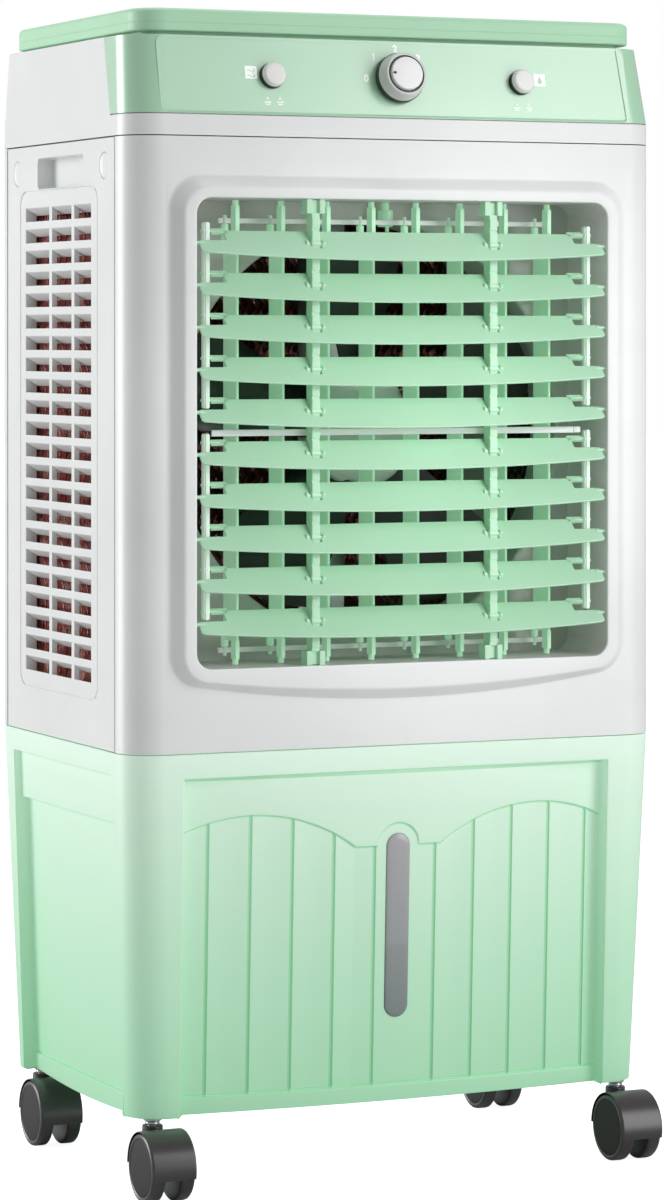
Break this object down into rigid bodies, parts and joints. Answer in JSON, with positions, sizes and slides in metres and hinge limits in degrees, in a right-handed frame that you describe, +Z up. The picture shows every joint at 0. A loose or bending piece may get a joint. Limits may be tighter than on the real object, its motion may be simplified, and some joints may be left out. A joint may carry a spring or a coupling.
{
  "type": "evaporative cooler",
  "caption": "Upright room air cooler on twin-wheel casters: water tank below, wet pads at the sides and rear, fan, linked louvres and swinging vanes in front, knob and buttons above.",
  "frame": {"origin": "on the floor under the middle of the outer box, with all four casters trailing forwards", "axes": "+X to the cooler's left-to-right as seen from the front, +Y to its back, +Z up"},
  "size_m": [0.45, 0.3104, 0.904],
  "materials": {
    "white_abs": "satin gloss injection-moulded shell",
    "mint_abs": "satin gloss mint moulding",
    "mint_tank": "satin translucent-looking mint moulding",
    "grey_abs": "satin light grey",
    "smoke_window": "smoky grey strip",
    "black_nylon": "polished black nylon",
    "zinc_steel": "bright zinc plated",
    "pad_paper": "brown-red corrugated cellulose, wet look",
    "motor_steel": "black enamelled can",
    "pipe_plastic": "milky stiff pipe",
    "pump_plastic": "black moulding"
  },
  "bodies": {
    "cabinet": {"top_cover": "mint_abs", "control_box": "white_abs", "control_panel": "mint_abs", "front_frame": "white_abs", "rear_panel": "white_abs", "side_panel_right": "white_abs", "side_panel_left": "white_abs", "pad_right": "pad_paper", "pad_left": "pad_paper", "pad_rear": "pad_paper", "screw_caps": "white_abs", "assembly_screws": "zinc_steel", "water_tray": "grey_abs", "water_pump": "pump_plastic", "riser_pipe": "pipe_plastic", "water_tank": "mint_tank", "level_window": "smoke_window", "drain_plug": "grey_abs", "switch_bodies": "pump_plastic", "louvre_frame": "mint_abs", "swing_motor": "zinc_steel", "fan_shroud": "grey_abs", "fan_motor": "motor_steel", "motor_bracket": "zinc_steel", "caster_stems": "zinc_steel"},
    "upper_blade_1": {"upper_blade_1": "mint_abs"},
    "upper_blade_2": {"upper_blade_2": "mint_abs"},
    "upper_blade_3": {"upper_blade_3": "mint_abs"},
    "upper_blade_4": {"upper_blade_4": "mint_abs"},
    "upper_blade_5": {"upper_blade_5": "mint_abs"},
    "upper_tie_bars": {"upper_tie_bars": "mint_abs"},
    "lower_blade_1": {"lower_blade_1": "mint_abs"},
    "lower_blade_2": {"lower_blade_2": "mint_abs"},
    "lower_blade_3": {"lower_blade_3": "mint_abs"},
    "lower_blade_4": {"lower_blade_4": "mint_abs"},
    "lower_blade_5": {"lower_blade_5": "mint_abs"},
    "lower_tie_bars": {"lower_tie_bars": "mint_abs"},
    "vane_1": {"vane_1": "mint_abs"},
    "vane_2": {"vane_2": "mint_abs"},
    "vane_3": {"vane_3": "mint_abs"},
    "vane_4": {"vane_4": "mint_abs"},
    "vane_5": {"vane_5": "mint_abs"},
    "vane_6": {"vane_6": "mint_abs"},
    "vane_7": {"vane_7": "mint_abs"},
    "vane_8": {"vane_8": "mint_abs"},
    "vane_tie_rods": {"vane_tie_rods": "white_abs"},
    "swing_crank": {"swing_crank": "mint_abs"},
    "fan_impeller": {"fan_impeller": "grey_abs"},
    "speed_knob": {"speed_knob": "grey_abs"},
    "swing_button": {"swing_button": "grey_abs"},
    "cooling_button": {"cooling_button": "grey_abs"},
    "fill_door": {"fill_door": "mint_tank"},
    "caster_hood_front_left": {"caster_hood_front_left": "black_nylon"},
    "caster_wheels_front_left": {"caster_wheels_front_left": "black_nylon"},
    "caster_hood_front_right": {"caster_hood_front_right": "black_nylon"},
    "caster_wheels_front_right": {"caster_wheels_front_right": "black_nylon"},
    "caster_hood_rear_left": {"caster_hood_rear_left": "black_nylon"},
    "caster_wheels_rear_left": {"caster_wheels_rear_left": "black_nylon"},
    "caster_hood_rear_right": {"caster_hood_rear_right": "black_nylon"},
    "caster_wheels_rear_right": {"caster_wheels_rear_right": "black_nylon"}
  },
  "joints": [
    {"name": "upper_blade_1_tilt", "type": "hinge", "parent": "cabinet", "child": "upper_blade_1", "pos_m": [0, -0.13575, 0.594], "axis": [-1, 0, 0], "range_deg": [-10, 80]},
    {"name": "upper_blade_2_tilt", "type": "hinge", "parent": "cabinet", "child": "upper_blade_2", "pos_m": [0, -0.13575, 0.626], "axis": [-1, 0, 0], "range_deg": [-10, 80]},
    {"name": "upper_blade_3_tilt", "type": "hinge", "parent": "cabinet", "child": "upper_blade_3", "pos_m": [0, -0.13575, 0.658], "axis": [-1, 0, 0], "range_deg": [-10, 80]},
    {"name": "upper_blade_4_tilt", "type": "hinge", "parent": "cabinet", "child": "upper_blade_4", "pos_m": [0, -0.13575, 0.69], "axis": [-1, 0, 0], "range_deg": [-10, 80]},
    {"name": "upper_blade_5_tilt", "type": "hinge", "parent": "cabinet", "child": "upper_blade_5", "pos_m": [0, -0.13575, 0.722], "axis": [-1, 0, 0], "range_deg": [-10, 80]},
    {"name": "upper_tie_bars_pivot", "type": "hinge", "parent": "upper_blade_1", "child": "upper_tie_bars", "pos_m": [0, -0.12698, 0.60277], "axis": [-1, 0, 0], "range_deg": [-80, 10]},
    {"name": "lower_blade_1_tilt", "type": "hinge", "parent": "cabinet", "child": "lower_blade_1", "pos_m": [0, -0.13575, 0.562], "axis": [-1, 0, 0], "range_deg": [-10, 80]},
    {"name": "lower_blade_2_tilt", "type": "hinge", "parent": "cabinet", "child": "lower_blade_2", "pos_m": [0, -0.13575, 0.53], "axis": [-1, 0, 0], "range_deg": [-10, 80]},
    {"name": "lower_blade_3_tilt", "type": "hinge", "parent": "cabinet", "child": "lower_blade_3", "pos_m": [0, -0.13575, 0.498], "axis": [-1, 0, 0], "range_deg": [-10, 80]},
    {"name": "lower_blade_4_tilt", "type": "hinge", "parent": "cabinet", "child": "lower_blade_4", "pos_m": [0, -0.13575, 0.466], "axis": [-1, 0, 0], "range_deg": [-10, 80]},
    {"name": "lower_blade_5_tilt", "type": "hinge", "parent": "cabinet", "child": "lower_blade_5", "pos_m": [0, -0.13575, 0.434], "axis": [-1, 0, 0], "range_deg": [-10, 80]},
    {"name": "lower_tie_bars_pivot", "type": "hinge", "parent": "lower_blade_1", "child": "lower_tie_bars", "pos_m": [0, -0.12698, 0.57077], "axis": [-1, 0, 0], "range_deg": [-80, 10]},
    {"name": "vane_1_swing", "type": "hinge", "parent": "cabinet", "child": "vane_1", "pos_m": [-0.133, -0.11575, 0.578], "axis": [0, 0, 1], "range_deg": [-35, 35]},
    {"name": "vane_2_swing", "type": "hinge", "parent": "cabinet", "child": "vane_2", "pos_m": [-0.095, -0.11575, 0.578], "axis": [0, 0, 1], "range_deg": [-35, 35]},
    {"name": "vane_3_swing", "type": "hinge", "parent": "cabinet", "child": "vane_3", "pos_m": [-0.057, -0.11575, 0.578], "axis": [0, 0, 1], "range_deg": [-35, 35]},
    {"name": "vane_4_swing", "type": "hinge", "parent": "cabinet", "child": "vane_4", "pos_m": [-0.019, -0.11575, 0.578], "axis": [0, 0, 1], "range_deg": [-35, 35]},
    {"name": "vane_5_swing", "type": "hinge", "parent": "cabinet", "child": "vane_5", "pos_m": [0.019, -0.11575, 0.578], "axis": [0, 0, 1], "range_deg": [-35, 35]},
    {"name": "vane_6_swing", "type": "hinge", "parent": "cabinet", "child": "vane_6", "pos_m": [0.057, -0.11575, 0.578], "axis": [0, 0, 1], "range_deg": [-35, 35]},
    {"name": "vane_7_swing", "type": "hinge", "parent": "cabinet", "child": "vane_7", "pos_m": [0.095, -0.11575, 0.578], "axis": [0, 0, 1], "range_deg": [-35, 35]},
    {"name": "vane_8_swing", "type": "hinge", "parent": "cabinet", "child": "vane_8", "pos_m": [0.133, -0.11575, 0.578], "axis": [0, 0, 1], "range_deg": [-35, 35]},
    {"name": "vane_tie_rods_pivot", "type": "hinge", "parent": "vane_1", "child": "vane_tie_rods", "pos_m": [-0.133, -0.09475, 0.578], "axis": [0, 0, 1], "range_deg": [-35, 35]},
    {"name": "swing_crank_spin", "type": "hinge", "parent": "cabinet", "child": "swing_crank", "pos_m": [0.009, -0.08075, 0.75], "axis": [0, 0, 1], "continuous": true},
    {"name": "fan_spin", "type": "hinge", "parent": "cabinet", "child": "fan_impeller", "pos_m": [0, -0.04975, 0.578], "axis": [0, 1, 0], "continuous": true},
    {"name": "speed_knob_turn", "type": "hinge", "parent": "cabinet", "child": "speed_knob", "pos_m": [0, -0.12394, 0.85], "axis": [0, 0.976, -0.2178], "range_deg": [0, 135]},
    {"name": "swing_button_press", "type": "slide", "parent": "cabinet", "child": "swing_button", "axis": [0, 0.976, -0.2178], "range_m": [0, 0.0035], "stiffness_N_per_m": 250, "springref_m": -0.002},
    {"name": "cooling_button_press", "type": "slide", "parent": "cabinet", "child": "cooling_button", "axis": [0, 0.976, -0.2178], "range_m": [0, 0.0035], "stiffness_N_per_m": 250, "springref_m": -0.002},
    {"name": "fill_door_hinge", "type": "hinge", "parent": "cabinet", "child": "fill_door", "pos_m": [0, 0.15, 0.2925], "axis": [-1, 0, 0], "range_deg": [0, 80]},
    {"name": "caster_swivel_front_left", "type": "hinge", "parent": "cabinet", "child": "caster_hood_front_left", "pos_m": [-0.198, -0.10875, 0.056], "axis": [0, 0, 1], "continuous": true},
    {"name": "caster_roll_front_left", "type": "hinge", "parent": "caster_hood_front_left", "child": "caster_wheels_front_left", "pos_m": [-0.198, -0.12775, 0.026], "axis": [1, 0, 0], "continuous": true},
    {"name": "caster_swivel_front_right", "type": "hinge", "parent": "cabinet", "child": "caster_hood_front_right", "pos_m": [0.198, -0.10875, 0.056], "axis": [0, 0, 1], "continuous": true},
    {"name": "caster_roll_front_right", "type": "hinge", "parent": "caster_hood_front_right", "child": "caster_wheels_front_right", "pos_m": [0.198, -0.12775, 0.026], "axis": [1, 0, 0], "continuous": true},
    {"name": "caster_swivel_rear_left", "type": "hinge", "parent": "cabinet", "child": "caster_hood_rear_left", "pos_m": [-0.198, 0.13325, 0.056], "axis": [0, 0, 1], "continuous": true},
    {"name": "caster_roll_rear_left", "type": "hinge", "parent": "caster_hood_rear_left", "child": "caster_wheels_rear_left", "pos_m": [-0.198, 0.11425, 0.026], "axis": [1, 0, 0], "continuous": true},
    {"name": "caster_swivel_rear_right", "type": "hinge", "parent": "cabinet", "child": "caster_hood_rear_right", "pos_m": [0.198, 0.13325, 0.056], "axis": [0, 0, 1], "continuous": true},
    {"name": "caster_roll_rear_right", "type": "hinge", "parent": "caster_hood_rear_right", "child": "caster_wheels_rear_right", "pos_m": [0.198, 0.11425, 0.026], "axis": [1, 0, 0], "continuous": true}
  ],
  "couplings": [
    {"joint": "upper_blade_2_tilt", "follows": "upper_blade_1_tilt", "ratio": 1},
    {"joint": "upper_blade_3_tilt", "follows": "upper_blade_1_tilt", "ratio": 1},
    {"joint": "upper_blade_4_tilt", "follows": "upper_blade_1_tilt", "ratio": 1},
    {"joint": "upper_blade_5_tilt", "follows": "upper_blade_1_tilt", "ratio": 1},
    {"joint": "upper_tie_bars_pivot", "follows": "upper_blade_1_tilt", "ratio": -1},
    {"joint": "lower_blade_2_tilt", "follows": "lower_blade_1_tilt", "ratio": 1},
    {"joint": "lower_blade_3_tilt", "follows": "lower_blade_1_tilt", "ratio": 1},
    {"joint": "lower_blade_4_tilt", "follows": "lower_blade_1_tilt", "ratio": 1},
    {"joint": "lower_blade_5_tilt", "follows": "lower_blade_1_tilt", "ratio": 1},
    {"joint": "lower_tie_bars_pivot", "follows": "lower_blade_1_tilt", "ratio": -1},
    {"joint": "vane_2_swing", "follows": "vane_1_swing", "ratio": 1},
    {"joint": "vane_3_swing", "follows": "vane_1_swing", "ratio": 1},
    {"joint": "vane_4_swing", "follows": "vane_1_swing", "ratio": 1},
    {"joint": "vane_5_swing", "follows": "vane_1_swing", "ratio": 1},
    {"joint": "vane_6_swing", "follows": "vane_1_swing", "ratio": 1},
    {"joint": "vane_7_swing", "follows": "vane_1_swing", "ratio": 1},
    {"joint": "vane_8_swing", "follows": "vane_1_swing", "ratio": 1},
    {"joint": "vane_tie_rods_pivot", "follows": "vane_1_swing", "ratio": -1}
  ]
}
